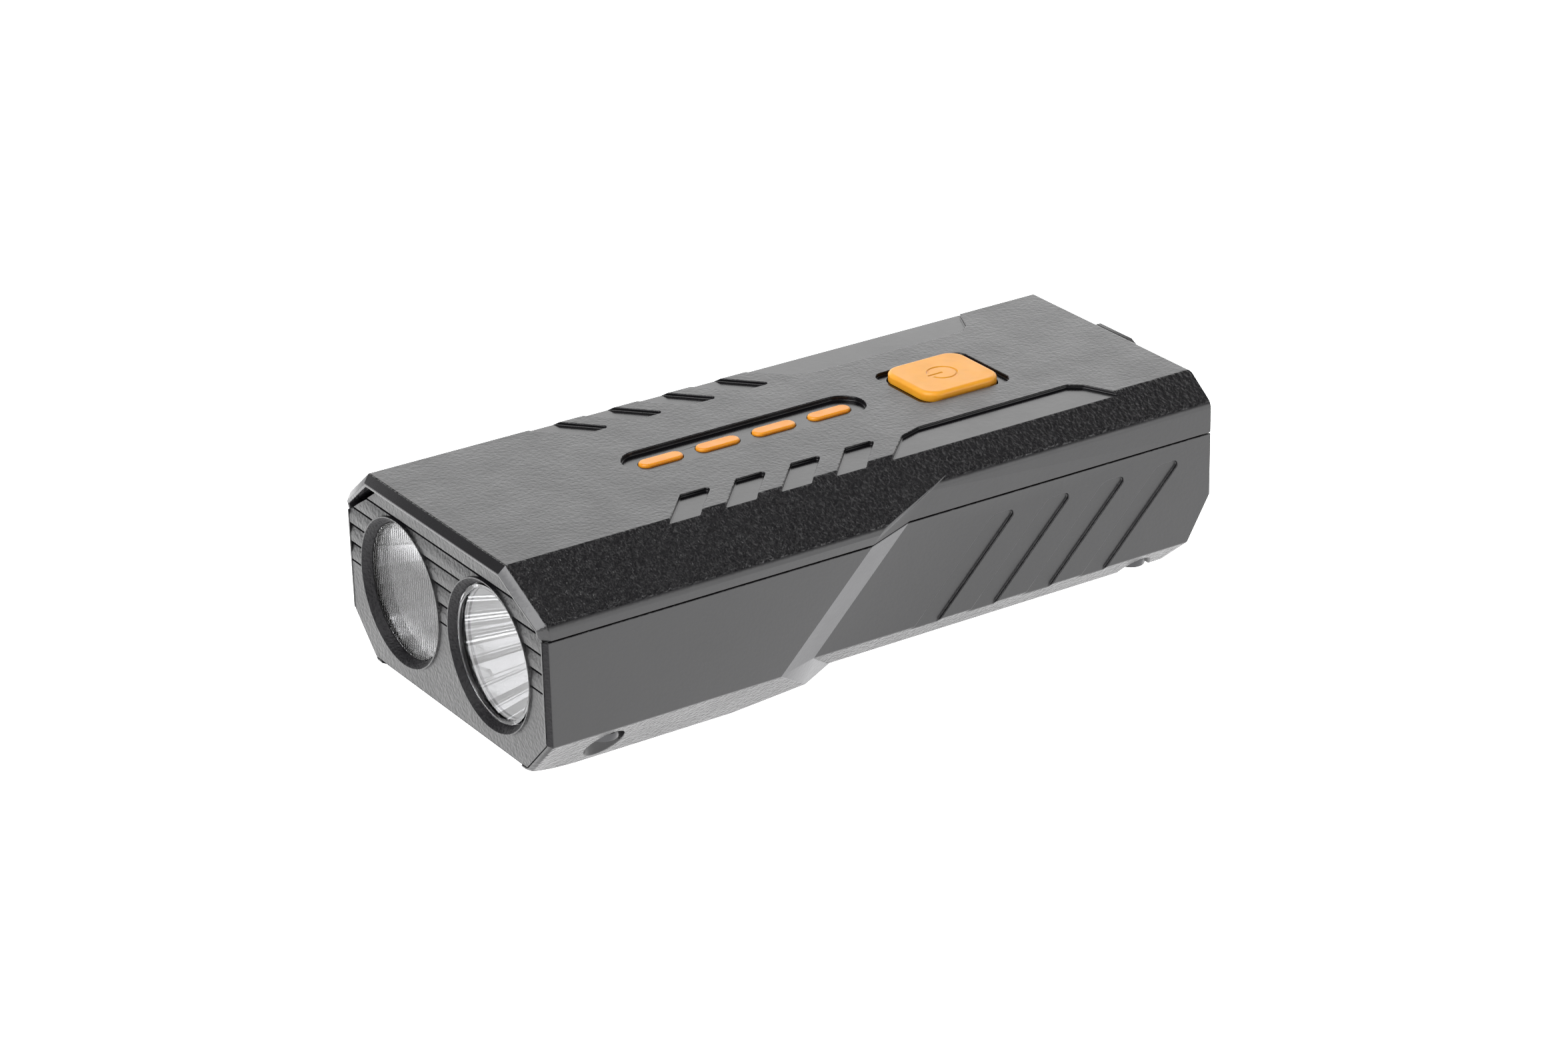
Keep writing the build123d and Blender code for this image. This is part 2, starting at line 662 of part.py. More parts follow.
def main_board_screws():
    """Short screws that hold the board up against the cover's bosses."""
    screws = []
    for y in BOARD_SCREW_YS:
        for x in (BOARD_SCREW_X, -BOARD_SCREW_X):
            head = rod_z(x, y, 1.4, BOARD_LOW - 0.9, BOARD_LOW)
            screws.append(head + rod_z(x, y, SMALL_SCREW_R, BOARD_LOW, BOARD_TOP + 1.9))
    return screws


def gauge_leds():
    """One small LED on the board under each pill."""
    chips = []
    for k in range(PILL_COUNT):
        y = pill_y(k)
        chips.append(block((-0.8, 0.8), (y - 0.4, y + 0.4), (BOARD_TOP, BOARD_TOP + 0.5)))
    return chips


def gauge_pill(k):
    """Orange light guide: a pill that shows in the slot, with a flange under the cover."""
    place = Pos(0, pill_y(k))
    low = SLOT_PAD - PILL_FLANGE
    stem = upright(place * stadium(PILL_WIDTH, PILL_LENGTH), low, PILL_TOP)
    top = stem.faces().sort_by(Axis.Z)[-1]
    stem = fillet(top.edges(), 0.3)
    return stem + upright(place * stadium(PILL_WIDTH + 1.4, PILL_LENGTH + 1.2), low, SLOT_PAD)


def power_icon(level):
    """Ring with a gap towards the lamps and a bar through the gap, cut into the key."""
    ring = Circle(ICON_R) - Circle(ICON_R - ICON_LINE) - Pos(0, -ICON_R) * Rectangle(1.5, ICON_R)
    bar = Pos(0, -ICON_BAR / 2) * Rectangle(ICON_LINE, ICON_BAR)
    return upright(Pos(0, BUTTON_Y) * (ring + bar), level - 0.12, level + 1)


def power_button():
    """Soft key: rounded cap that stands proud of the top, with a stem down to the switch."""
    top = HEIGHT + BUTTON_RAISE
    cap = upright(key_outline(0), top - BUTTON_THICK, top)
    cap = fillet(cap.faces().sort_by(Axis.Z)[-1].edges(), 0.55)
    cap -= power_icon(top)
    stem = Pos(0, BUTTON_Y) * RectangleRounded(STEM, STEM, 0.6)
    return cap + upright(stem, PLUNGER_TOP, top - BUTTON_THICK + 0.2)


def button_seal():
    """Silicone membrane under the recess, with the stem through its middle."""
    sheet = RectangleRounded(10, 10, 1) - RectangleRounded(STEM + 0.14, STEM + 0.14, 0.65)
    return upright(Pos(0, BUTTON_Y) * sheet, RECESS_PAD - 0.4, RECESS_PAD)


def switch_base():
    """Low push switch on the board."""
    base = block((-2.6, 2.6), (BUTTON_Y - 2.6, BUTTON_Y + 2.6), (BOARD_TOP, BOARD_TOP + 0.85))
    return base - rod_z(0, BUTTON_Y, 1.55, BOARD_TOP + 0.1, 40)


def switch_plunger():
    """Moving button of the switch."""
    return rod_z(0, BUTTON_Y, 1.5, PLUNGER_TOP - 0.75, PLUNGER_TOP)


def controller_chip():
    """Driver and charger chip."""
    return block((8, 13), (50, 55), (BOARD_TOP, BOARD_TOP + 0.9))


def power_coil():
    """Inductor of the lamp driver."""
    coil = upright(Pos(-11, 42) * RectangleRounded(6, 6, 1), BOARD_TOP, BOARD_TOP + 1.9)
    return chamfer(coil.faces().sort_by(Axis.Z)[-1].edges(), 0.2)


def usb_board():
    """Small board behind the port."""
    board = block((-7.8, 7.8), (94.6, 102.6), (USB_BOARD_LOW, USB_BOARD_TOP))
    for x in (USB_SCREW_X, -USB_SCREW_X):
        board -= rod_z(x, USB_SCREW_Y, SMALL_SCREW_PASS, 0, 40)
    return board


def usb_board_screws():
    """Two screws down into the tub's posts."""
    screws = []
    for x in (USB_SCREW_X, -USB_SCREW_X):
        head = rod_z(x, USB_SCREW_Y, 1.05, USB_BOARD_TOP, USB_BOARD_TOP + 0.7)
        screws.append(head + rod_z(x, USB_SCREW_Y, SMALL_SCREW_R, 11, USB_BOARD_TOP))
    return screws


def usb_shell():
    """Metal sleeve of the charging socket."""
    place = Pos(0, PORT_Z)
    sleeve = along_y(place * RectangleRounded(USB_WIDTH, USB_HEIGHT, 1.5), USB_FRONT, USB_MOUTH)
    sleeve -= along_y(
        place * RectangleRounded(USB_WIDTH - 0.6, USB_HEIGHT - 0.6, 1.2), USB_FRONT + 0.6, USB_MOUTH + 1
    )
    for x in (USB_SCREW_X, -USB_SCREW_X):
        sleeve -= rod_z(x, USB_SCREW_Y, 1.15, 10, 20)
    return sleeve


def usb_tongue():
    """Contact tongue inside the sleeve."""
    return block((-3.3, 3.3), (USB_FRONT + 0.6, USB_MOUTH - 0.7), (PORT_Z - 0.35, PORT_Z + 0.35))


def wire(points, bend, radius):
    """Insulated wire along straight runs with rounded turns."""
    path = FilletPolyline(*points, radius=bend)
    start = Plane(origin=path @ 0, z_dir=path % 0)
    return sweep(start * Circle(radius), path=path)


def led_leads():
    """Two wires from the lamp board over the heat sink to the main board."""
    y = (LED_BOARD_FRONT + LED_BOARD_BACK) / 2
    low = LAMP_PLATE_HIGH
    return [
        wire([(x, y, low), (x, y, 23.3), (x, 25.6, 23.3), (x, 25.6, BOARD_LOW)], 0.5, 0.4)
        for x in (4.5, -4.5)
    ]


def cell_leads():
    """Wires from the two battery strips to the main board."""
    front_y = CELL_FRONT - TAB - 0.45
    rear_y = CELL_BACK + TAB + 0.45
    return [
        rod_z(0, front_y, 0.45, 12, BOARD_LOW),
        wire([(0, rear_y, 12), (0, rear_y, 23), (0, 87, 23), (0, 87, BOARD_LOW)], 0.5, 0.45),
    ]


def usb_leads():
    """Wires from the charging socket's board to the main board."""
    return [
        wire([(x, 95.1, USB_BOARD_TOP), (x, 95.1, 22.8), (x, 88, 22.8), (x, 88, BOARD_LOW)], 0.6, 0.4)
        for x in (3.2, -3.2)
    ]


def port_cover():
    """Rubber flap with a pull edge on top and a shallow plug behind it."""
    right = [(COVER_TOP_HALF, COVER_TOP), (COVER_HALF, COVER_SHOULDER), (COVER_HALF, COVER_LOW)]
    left = [(-x, z) for x, z in reversed(right)]
    flap = along_y(Polygon(*right, *left, align=None), COVER_IN, COVER_OUT)
    outer = flap.faces().sort_by(Axis.Y)[-1]
    flap = fillet([e for e in outer.edges() if e.center().Z > COVER_LOW + 0.1], 0.3)
    plug = Pos(0, PORT_Z) * RectangleRounded(8.4, 2.6, 1.2)
    return flap + along_y(plug, LENGTH - 1.1, COVER_IN)


def port_strap():
    """Fixed foot of the flap: a pad on the tail, a thin hinge web and a peg in the wall."""
    pad = block((-6, 6), (COVER_IN, COVER_OUT), (STRAP_LOW, HINGE_Z - 0.56))
    web = block((-6, 6), (HINGE_Y - 0.14, HINGE_Y + 0.14), (HINGE_Z - 0.6, HINGE_Z + 0.1))
    peg = rod_y(0, (STRAP_LOW + HINGE_Z) / 2 - 0.2, 0.3, LENGTH - REAR_WALL, COVER_IN)
    return pad + web + peg


def bracket_rail():
    """T-shaped slide rail for a handlebar bracket, with a latch notch near its front."""
    right = [(RAIL_HALF, 0), (RAIL_HALF, RAIL_FLANGE), (RAIL_NECK_HALF, RAIL_FLANGE)]
    right += [(RAIL_NECK_HALF, REAR_FLOOR)]
    left = [(-x, z) for x, z in reversed(right)]
    rail = along_y(Polygon(*right, *left, align=None), RAIL_FRONT, RAIL_BACK)
    rail -= block((-3, 3), (RAIL_FRONT + 13, RAIL_FRONT + 16.5), (-1, 1.1))
    for y in RAIL_SCREW_YS:
        rail -= rod_z(0, y, 2.15, -1, RAIL_SCREW_SEAT)
        rail -= rod_z(0, y, RAIL_SCREW_R + 0.15, -1, 10)
    return rail


def rail_screws():
    """Two screws up through the rail into the tub."""
    screws = []
    for y in RAIL_SCREW_YS:
        head = rod_z(0, y, 1.9, 0.5, RAIL_SCREW_SEAT) - cross_slot(0, y, 0.5, 1.0, 0.4, 0.6)
        screws.append(head + rod_z(0, y, RAIL_SCREW_R, RAIL_SCREW_SEAT, 6.5))
    return screws


NODES = {
    "upper_shell": upper_shell,
    "lower_shell": lower_shell,
    "shell_seal": shell_seal,
    "case_screws": case_screws,
    "face_plate": face_plate,
    "flood_lens": flood_lens,
    "spot_lens": spot_lens,
    "flood_gasket": lambda: lens_gasket(-LAMP_X),
    "spot_gasket": lambda: lens_gasket(LAMP_X),
    "flood_reflector": lambda: reflector(-LAMP_X),
    "spot_reflector": lambda: reflector(LAMP_X),
    "flood_led": lambda: emitter(-LAMP_X),
    "spot_led": lambda: emitter(LAMP_X),
    "led_board": led_board,
    "heat_sink": heat_sink,
    "heat_sink_screws": heat_sink_screws,
    "cell_left": lambda: cell(-CELL_X),
    "cell_right": lambda: cell(CELL_X),
    "cell_tab_front": lambda: cell_tab(CELL_FRONT - TAB),
    "cell_tab_rear": lambda: cell_tab(CELL_BACK),
    "cell_tray": cell_tray,
    "cell_pad": cell_pad,
    "main_board": main_board,
    "main_board_screws": main_board_screws,
    "gauge_leds": gauge_leds,
    "power_button": power_button,
    "button_seal": button_seal,
    "switch_base": switch_base,
    "switch_plunger": switch_plunger,
    "controller_chip": controller_chip,
    "power_coil": power_coil,
    "usb_board": usb_board,
    "usb_board_screws": usb_board_screws,
    "usb_shell": usb_shell,
    "usb_tongue": usb_tongue,
    "led_leads": led_leads,
    "cell_leads": cell_leads,
    "usb_leads": usb_leads,
    "port_cover": port_cover,
    "port_strap": port_strap,
    "bracket_rail": bracket_rail,
    "rail_screws": rail_screws,
}


def write(name, shape, middle):
    """Moves a node so that the row's origin is under the middle of the length, and writes it."""
    solids = shape if isinstance(shape, list) else [shape]
    moved = [Pos(0, -middle, 0) * solid for solid in solids]
    node = moved[0] if len(moved) == 1 else Compound(children=moved)
    export_step(node, f"parts/{name}.step")


shapes = {name: make() for name, make in NODES.items()}
for number in range(PILL_COUNT):
    shapes[f"gauge_pill_{number + 1}"] = gauge_pill(number)
middle = (shapes["upper_shell"].bounding_box().min.Y + COVER_OUT) / 2
for name, shape in shapes.items():
    write(name, shape, middle)
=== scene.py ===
import json
import math

import bmesh
import bpy
from mathutils import Matrix, Vector


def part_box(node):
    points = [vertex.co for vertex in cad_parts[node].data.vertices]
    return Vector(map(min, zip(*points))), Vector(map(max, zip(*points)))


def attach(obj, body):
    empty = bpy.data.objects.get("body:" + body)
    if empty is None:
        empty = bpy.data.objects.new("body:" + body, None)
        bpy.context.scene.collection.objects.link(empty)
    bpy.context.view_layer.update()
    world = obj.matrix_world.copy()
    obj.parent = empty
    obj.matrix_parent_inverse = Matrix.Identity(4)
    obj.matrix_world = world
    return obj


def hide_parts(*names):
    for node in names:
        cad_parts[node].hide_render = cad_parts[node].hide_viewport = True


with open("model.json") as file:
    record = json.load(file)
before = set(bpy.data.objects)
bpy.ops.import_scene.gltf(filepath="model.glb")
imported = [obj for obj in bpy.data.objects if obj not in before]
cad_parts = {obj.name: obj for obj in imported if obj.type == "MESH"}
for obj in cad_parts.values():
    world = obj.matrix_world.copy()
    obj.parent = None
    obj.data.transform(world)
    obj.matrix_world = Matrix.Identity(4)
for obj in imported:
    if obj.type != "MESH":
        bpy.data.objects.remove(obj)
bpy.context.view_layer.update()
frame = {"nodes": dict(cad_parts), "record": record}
nodes = frame["nodes"]
record = frame["record"]
slot_of = {part["node"]: part["material_slot"] for part in record["subparts"]}
body_of = {node: body for body, members in record["behaviour"]["bodies"].items() for node in members}
MM = 0.001

# Camera, solved on the housing's straight edges
CAMERA_AT = Vector((0.430512, -0.280640, 0.245627))
CAMERA_AZIMUTH = math.radians(57.011)
CAMERA_ELEVATION = math.radians(24.243)
CAMERA_ROLL = math.radians(-1.352)
CAMERA_LENS = 99.0

# The floor is a light table, so it glows a little under the object
FLOOR_GLOW = 2.1
FLOOR_HALF = 3.0

# Levels and edges of the housing
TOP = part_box("upper_shell")[1].z
TOP_HALF = 17.2 * MM
SHOULDER_SLOPE = 0.73  # how far a shoulder drops per metre outwards
FACE_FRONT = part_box("face_plate")[0].y
COLLAR_OUTER = 10.0 * MM
LOUVRES_FROM = 13 * MM  # lowest gap between the louvres


# ---------------------------------------------------------------- materials

def new_material(name, colour, rough, **sockets):
    """Material with a plain Principled shader; every constant sits on the shader's own socket."""
    mat = bpy.data.materials.new(name)
    mat.use_nodes = True
    shader = mat.node_tree.nodes["Principled BSDF"]
    shader.inputs["Base Color"].default_value = (*colour, 1)
    shader.inputs["Roughness"].default_value = rough
    for socket, value in sockets.items():
        shader.inputs[socket.replace("_", " ")].default_value = value
    return mat, mat.node_tree, shader


def place(tree):
    """Position on the object, in metres."""
    return tree.nodes.new("ShaderNodeTexCoord").outputs["Object"]


def noise(tree, at, size, detail):
    """Smooth noise whose features are about size metres across."""
    node = tree.nodes.new("ShaderNodeTexNoise")
    node.inputs["Scale"].default_value = 1 / size
    node.inputs["Detail"].default_value = detail
    node.inputs["Roughness"].default_value = 0.55
    tree.links.new(at, node.inputs["Vector"])
    return node.outputs["Fac"]


def cells(tree, at, size):
    """Rounded pebbles about size metres across."""
    node = tree.nodes.new("ShaderNodeTexVoronoi")
    node.feature = "SMOOTH_F1"
    node.inputs["Scale"].default_value = 1 / size
    node.inputs["Smoothness"].default_value = 0.6
    tree.links.new(at, node.inputs["Vector"])
    return node.outputs["Distance"]


def maths(tree, operation, a, b=None, clamp=False):
    """One Math node on sockets or numbers."""
    node = tree.nodes.new("ShaderNodeMath")
    node.operation = operation
    node.use_clamp = clamp
    for socket, value in zip(node.inputs, (a, b)):
        if value is None:
            continue
        if isinstance(value, (int, float)):
            socket.default_value = value
        else:
            tree.links.new(value, socket)
    return node.outputs[0]


def span(tree, value, from_low, from_high, to_low, to_high):
    """Maps one range of numbers to another and stops at its ends."""
    node = tree.nodes.new("ShaderNodeMapRange")
    names = ("From Min", "From Max", "To Min", "To Max")
    for name, number in zip(names, (from_low, from_high, to_low, to_high)):
        node.inputs[name].default_value = number
    tree.links.new(value, node.inputs["Value"])
    return node.outputs["Result"]


def axes_of(tree, vector):
    """The X, Y and Z sockets of a vector."""
    split = tree.nodes.new("ShaderNodeSeparateXYZ")
    tree.links.new(vector, split.inputs["Vector"])
    return split.outputs


def blend_colours(tree, fac, low, high):
    """Colour that runs from low to high as fac goes from 0 to 1."""
    ramp = tree.nodes.new("ShaderNodeValToRGB")
    ramp.color_ramp.elements[0].color = (*low, 1)
    ramp.color_ramp.elements[1].color = (*high, 1)
    tree.links.new(fac, ramp.inputs["Fac"])
    return ramp.outputs["Color"]


def shade(colour, factor):
    """A colour made darker or lighter."""
    return tuple(min(1.0, channel * factor) for channel in colour)


def add_bump(tree, shader, height, depth, strength=1.0):
    """Relief of depth metres."""
    bump = tree.nodes.new("ShaderNodeBump")
    bump.inputs["Distance"].default_value = depth
    tree.links.new(height, bump.inputs["Height"])
    if isinstance(strength, float):
        bump.inputs["Strength"].default_value = strength
    else:
        tree.links.new(strength, bump.inputs["Strength"])
    tree.links.new(bump.outputs["Normal"], shader.inputs["Normal"])


def vary(tree, shader, at, colour, rough, patch, swing, rough_swing):
    """Slow drift of colour and roughness, as on handled mouldings."""
    drift = span(tree, noise(tree, at, patch, 3.0), 0.3, 0.7, 0.0, 1.0)
    tint = blend_colours(tree, drift, shade(colour, 1 - swing), shade(colour, 1 + swing))
    tree.links.new(tint, shader.inputs["Base Color"])
    worn = span(tree, noise(tree, at, patch * 0.6, 4.0), 0.3, 0.7, rough - rough_swing, rough + rough_swing)
    tree.links.new(worn, shader.inputs["Roughness"])


def moulded(name, colour, rough, cell, depth, grain=None, **sockets):
    """Moulded plastic or rubber with a pebbled grain. grain holds the factors that weaken it on level tops,
    on fronts and on upright sides."""
    mat, tree, shader = new_material(name, colour, rough, **sockets)
    at = place(tree)
    vary(tree, shader, at, colour, rough, 9 * MM, 0.08, 0.03)
    fine = noise(tree, at, cell, 2.5)
    height = maths(tree, "ADD", fine, maths(tree, "MULTIPLY", cells(tree, at, cell * 1.6), 0.8))
    strength = 1.0
    if grain:
        facing = axes_of(tree, tree.nodes.new("ShaderNodeTexCoord").outputs["Normal"])
        on_top = span(tree, facing["Z"], 0.9, 0.98, 1.0, grain["top"])
        on_front = span(tree, facing["Y"], -0.6, -0.5, grain["front"], 1.0)
        on_sides = span(tree, maths(tree, "ABSOLUTE", facing["X"]), 0.8, 0.85, 1.0, grain["side"])
        strength = maths(tree, "MULTIPLY", maths(tree, "MULTIPLY", on_sides, on_top), on_front)
    add_bump(tree, shader, height, depth, strength)
    return mat


def metal(name, colour, rough, grain=0.4 * MM, depth=0.003 * MM, stretch=(1, 1, 1)):
    """Metal with a faint directional finish."""
    mat, tree, shader = new_material(name, colour, rough, Metallic=1.0)
    at = place(tree)
    mapping = tree.nodes.new("ShaderNodeMapping")
    mapping.inputs["Scale"].default_value = stretch
    tree.links.new(at, mapping.inputs["Vector"])
    lines = noise(tree, mapping.outputs["Vector"], grain, 3.0)
    vary(tree, shader, at, colour, rough, 4 * MM, 0.06, 0.04)
    add_bump(tree, shader, lines, depth)
    return mat


def clear_plastic(name):
    """Polished clear plastic with the faint unevenness of a moulding. It bends light less than real plastic,
    which keeps the bright floor from washing the lenses out."""
    mat, tree, shader = new_material(name, (0.99, 0.992, 1.0), 0.01, IOR=1.27, Transmission_Weight=1.0)
    at = place(tree)
    add_bump(tree, shader, noise(tree, at, 3.5 * MM, 1.0), 0.004 * MM)
    haze = span(tree, noise(tree, at, 2 * MM, 3.0), 0.35, 0.75, 0.01, 0.04)
    tree.links.new(haze, shader.inputs["Roughness"])
    return mat, tree, shader


def fluted_plastic_painted_shade(name, centre, pitch, radius):
    """Clear plastic with upright flutes and painted shade in its colour: darker in the valleys of the flutes
    and across the middle of the disc, lighter towards the top and bottom, standing in for the light the
    flutes turn away.
    """
    mat, tree, shader = clear_plastic(name)
    at = axes_of(tree, place(tree))
    flutes = maths(tree, "DIVIDE", maths(tree, "SUBTRACT", at["X"], centre[0]), pitch)
    from_crown = maths(tree, "ABSOLUTE", maths(tree, "SUBTRACT", maths(tree, "FRACT", flutes), 0.5))
    # painted shade: darker colour in the flute valleys and across the middle of the disc, lighter towards the
    # top and bottom
    valley_shade = span(tree, from_crown, 0.15, 0.45, 0.0, 0.5)
    height = maths(tree, "ABSOLUTE", maths(tree, "SUBTRACT", at["Z"], centre[1]))
    middle_shade = span(tree, height, 0.4 * radius, 0.8 * radius, 0.75, 0.0)
    painted_shade = maths(tree, "ADD", valley_shade, middle_shade, clamp=True)
    tint = blend_colours(tree, painted_shade, (0.97, 0.972, 0.98), (0.12, 0.12, 0.121))
    tree.links.new(tint, shader.inputs["Base Color"])
    return mat


def mirror_coat(name, silver):
    """Vacuum-metallised plastic: bright, with a slight orange peel."""
    mat, tree, shader = new_material(name, (silver, silver, silver * 1.01), 0.07, Metallic=1.0)
    at = place(tree)
    add_bump(tree, shader, noise(tree, at, 1.1 * MM, 1.5), 0.004 * MM)
    soft = span(tree, noise(tree, at, 2.5 * MM, 2.0), 0.3, 0.7, 0.05, 0.11)
    tree.links.new(soft, shader.inputs["Roughness"])
    return mat


def board(name, mask_colour, line_colour, pitch):
    """Solder mask over copper lines that show through as a lighter tone."""
    mat, tree, shader = new_material(name, mask_colour, 0.35)
    at = place(tree)
    brick = tree.nodes.new("ShaderNodeTexBrick")
    brick.inputs["Scale"].default_value = 1 / pitch
    brick.inputs["Mortar Size"].default_value = 0.06
    brick.inputs["Color1"].default_value = (*mask_colour, 1)
    brick.inputs["Color2"].default_value = (*shade(mask_colour, 0.8), 1)
    brick.inputs["Mortar"].default_value = (*line_colour, 1)
    tree.links.new(at, brick.inputs["Vector"])
    tree.links.new(brick.outputs["Color"], shader.inputs["Base Color"])
    add_bump(tree, shader, brick.outputs["Fac"], 0.02 * MM)
    return mat


DOME_R = 1.36 * MM


def led_package(name, centre):
    """White ceramic with a yellow phosphor dome about an axis along Y through centre, (x, z)."""
    mat, tree, shader = new_material(name, (0.85, 0.85, 0.82), 0.4)
    at = place(tree)
    axes = axes_of(tree, at)
    squares = []
    for axis, middle in (("X", centre[0]), ("Z", centre[1])):
        away = maths(tree, "SUBTRACT", axes[axis], middle)
        squares.append(maths(tree, "MULTIPLY", away, away))
    radius = maths(tree, "SQRT", maths(tree, "ADD", *squares))
    outside = span(tree, radius, DOME_R - 0.02 * MM, DOME_R + 0.02 * MM, 0.0, 1.0)
    grain = noise(tree, at, 0.2 * MM, 2.0)
    mixed = maths(tree, "ADD", outside, maths(tree, "MULTIPLY", grain, 0.04), clamp=True)
    tint = blend_colours(tree, mixed, (0.9, 0.72, 0.18), (0.86, 0.86, 0.83))
    tree.links.new(tint, shader.inputs["Base Color"])
    add_bump(tree, shader, grain, 0.01 * MM)
    return mat


def translucent(name, colour, rough, depth, scatter):
    """Coloured silicone or light guide with a little light under the surface."""
    mat, tree, shader = new_material(name, colour, rough, Subsurface_Weight=scatter)
    shader.inputs["Subsurface Scale"].default_value = 1.2 * MM
    shader.inputs["Subsurface Radius"].default_value = (1.0, 0.45, 0.15)
    at = place(tree)
    vary(tree, shader, at, colour, rough, 3 * MM, 0.05, 0.04)
    add_bump(tree, shader, noise(tree, at, 0.12 * MM, 2.0), depth)
    return mat


BLACK = (0.0045, 0.0042, 0.0052)
SHELL_GRAIN = {"top": 0.14, "front": 0.2, "side": 0.05}
materials = {
    "housing_black": moulded("shell_grain", BLACK, 0.34, 0.36 * MM, 0.22 * MM, SHELL_GRAIN),
    "face_grey": moulded("face_grain", (0.008, 0.008, 0.0085), 0.42, 0.36 * MM, 0.09 * MM),
    "clear_lens": clear_plastic("lens_clear")[0],
    "reflector_silver": mirror_coat("spot_coat", 0.4),
    "seal_rubber": moulded("seal_matt", (0.02, 0.02, 0.02), 0.7, 0.2 * MM, 0.01 * MM),
    "cover_rubber": moulded("cover_matt", (0.03, 0.03, 0.031), 0.5, 0.25 * MM, 0.03 * MM),
    "orange_silicone": translucent("key_silicone", (0.95, 0.40, 0.025), 0.45, 0.006 * MM, 0.25),
    "orange_pill": translucent("pill_guide", (0.94, 0.34, 0.015), 0.4, 0.005 * MM, 0.3),
    "screw_steel": metal("zinc_plate", (0.6, 0.61, 0.63), 0.32),
    "screw_black": metal("black_oxide", (0.05, 0.05, 0.052), 0.38),
    "aluminium": metal("milled_aluminium", (0.8, 0.81, 0.82), 0.3, 0.25 * MM, 0.004 * MM, (1, 1, 8)),
    "board_green": board("green_mask", (0.02, 0.16, 0.06), (0.05, 0.3, 0.12), 4 * MM),
    "board_white": board("white_mask", (0.75, 0.76, 0.74), (0.6, 0.62, 0.6), 5 * MM),
    "chip_black": moulded("epoxy_black", (0.02, 0.02, 0.021), 0.55, 0.08 * MM, 0.006 * MM),
    "cell_sleeve": moulded("cell_wrap", (0.03, 0.12, 0.38), 0.28, 1.5 * MM, 0.01 * MM),
    "nickel": metal("nickel_strip", (0.72, 0.7, 0.64), 0.28, 0.3 * MM, 0.003 * MM, (8, 1, 1)),
    "tray_plastic": moulded("tray_grain", (0.04, 0.04, 0.042), 0.5, 0.3 * MM, 0.02 * MM),
    "foam": moulded("open_foam", (0.05, 0.05, 0.05), 0.9, 0.5 * MM, 0.12 * MM),
    "wire_red": moulded("wire_insulation", (0.5, 0.02, 0.015), 0.4, 0.4 * MM, 0.006 * MM),
    "rail_black": moulded("rail_grain", (0.016, 0.016, 0.017), 0.42, 0.3 * MM, 0.04 * MM),
}
flood_coat = mirror_coat("flood_coat", 0.6)
# Painted light: a lighter grey put on the hood's side bevels and the side facets so they look as bright as
# the reflections on them
painted_light_grey = moulded("facet_painted_light", (0.095, 0.095, 0.098), 0.42, 0.36 * MM, 0.03 * MM)
# Black with its reflection turned down: on the collar cones, and as painted shade on the walls of the gaps
# between the louvres and on the front bevels
collar_black_and_painted_shade = moulded("collar_grain_painted_shade", shade(BLACK, 1.2), 0.5, 0.3 * MM, 0.1 * MM, Specular_IOR_Level=0.2)
gloss_black = moulded("shell_gloss", BLACK, 0.22, 0.6 * MM, 0.004 * MM, Specular_IOR_Level=0.34)


def dress(obj, mat):
    """Puts one material on an object."""
    obj.data.materials.clear()
    obj.data.materials.append(mat)


# ---------------------------------------------------------------- mesh pieces

def add_piece(name, mesh, *replaced):
    """Links a mesh as a piece that stands for CAD nodes and rides with their body."""
    piece = bpy.data.objects.new(name, mesh)
    bpy.context.scene.collection.objects.link(piece)
    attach(piece, body_of[replaced[0]])
    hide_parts(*replaced)
    return piece


def smooth_faces(mesh):
    for face in mesh.polygons:
        face.use_smooth = True


SHARP_FROM = math.radians(33)


def soften(node, width, segments=2, merge_level_tops=True):
    """Copy of a CAD node whose hard edges are rounded by width. Flat areas are merged into single faces
    first, except level tops where merge_level_tops is off."""
    bm = bmesh.new()
    bm.from_mesh(nodes[node].data)
    bmesh.ops.remove_doubles(bm, verts=bm.verts, dist=0.002 * MM)
    edges = bm.edges
    if not merge_level_tops:
        edges = [edge for edge in bm.edges if not all(face.normal.z > 0.99 for face in edge.link_faces)]
    bmesh.ops.dissolve_limit(bm, angle_limit=math.radians(1), verts=bm.verts, edges=edges)
    mesh = bpy.data.meshes.new(node + "_soft")
    bm.to_mesh(mesh)
    bm.free()
    smooth_faces(mesh)
    piece = add_piece(node + "_soft", mesh, node)
    dress(piece, materials[slot_of[node]])
    bevel = piece.modifiers.new("soft_edges", "BEVEL")
    bevel.width = width
    bevel.segments = segments
    bevel.limit_method = "ANGLE"
    bevel.angle_limit = SHARP_FROM
    bevel.use_clamp_overlap = False
    bevel.harden_normals = True
    piece.modifiers.new("flat_normals", "WEIGHTED_NORMAL").keep_sharp = True
    return piece


# Ranges of |x|, y and z of a face's normal that tell some groups of faces apart; they pick the faces that get
# painted light or painted shade
HOOD_BEVEL = ((0.35, 0.6), (-1.0, -0.65), (0.3, 1.0))
FRONT_BEVEL = ((0.5, 1.0), (-1.0, -0.5), (-1.0, 1.0))
SIDE_FACET = ((0.8, 0.9), (0.3, 0.42), (-0.42, -0.3))


def points_into(normal, ranges):
    """Whether a normal lies in the given ranges."""
    return all(low < value < high for value, (low, high) in zip((abs(normal.x), normal.y, normal.z), ranges))


CUT_DEPTHS = (0.05 * MM, 1.5 * MM)  # below the surface round the cuts
CUT_HALF = 19 * MM
CUT_LEVEL = TOP - 1.6 * MM


